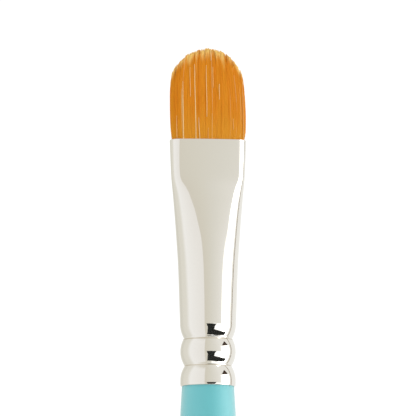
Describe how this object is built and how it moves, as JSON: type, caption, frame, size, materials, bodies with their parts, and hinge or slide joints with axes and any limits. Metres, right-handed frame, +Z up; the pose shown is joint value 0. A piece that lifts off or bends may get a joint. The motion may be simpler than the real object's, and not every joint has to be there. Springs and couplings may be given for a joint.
{
  "type": "artist's paint brush",
  "caption": "Filbert artist's brush: a flat tuft with a rounded end in a pressed, crimped metal ferrule on a slim turned handle.",
  "frame": {"origin": "on the brush's axis at the middle of the handle's grip, where the handle is thickest", "axes": "+Z runs up the brush to the tip of the tuft; +X runs along the width of the flat ferrule and tuft; +Y runs through their thickness, away from the front flat"},
  "size_m": [0.0096, 0.008, 0.1907],
  "materials": {
    "birch": "bare sanded birch",
    "turquoise_lacquer": "satin gloss lacquer",
    "nickel_plate": "bright nickel plate on brass",
    "ferrule_glue": "cured glue",
    "setting_resin": "cured clear resin, brown in bulk",
    "binding_yarn": "waxed twisted thread",
    "bound_filament": "bound synthetic filament",
    "golden_filament": "tapered golden synthetic filament"
  },
  "bodies": {
    "handle": {"handle_core": "birch", "handle_lacquer": "turquoise_lacquer", "ferrule": "nickel_plate", "tenon_glue": "ferrule_glue", "resin_plug": "setting_resin", "binding_thread": "binding_yarn", "filament_root": "bound_filament"},
    "tuft": {"tuft_front_course": "golden_filament", "tuft_belly": "golden_filament", "tuft_back_course": "golden_filament"}
  },
  "joints": [
    {"name": "tuft_flex", "type": "hinge", "parent": "handle", "child": "tuft", "pos_m": [0, 0, 0.0622], "axis": [1, 0, 0], "range_deg": [-45, 45], "stiffness_Nm_per_rad": 0.002}
  ]
}
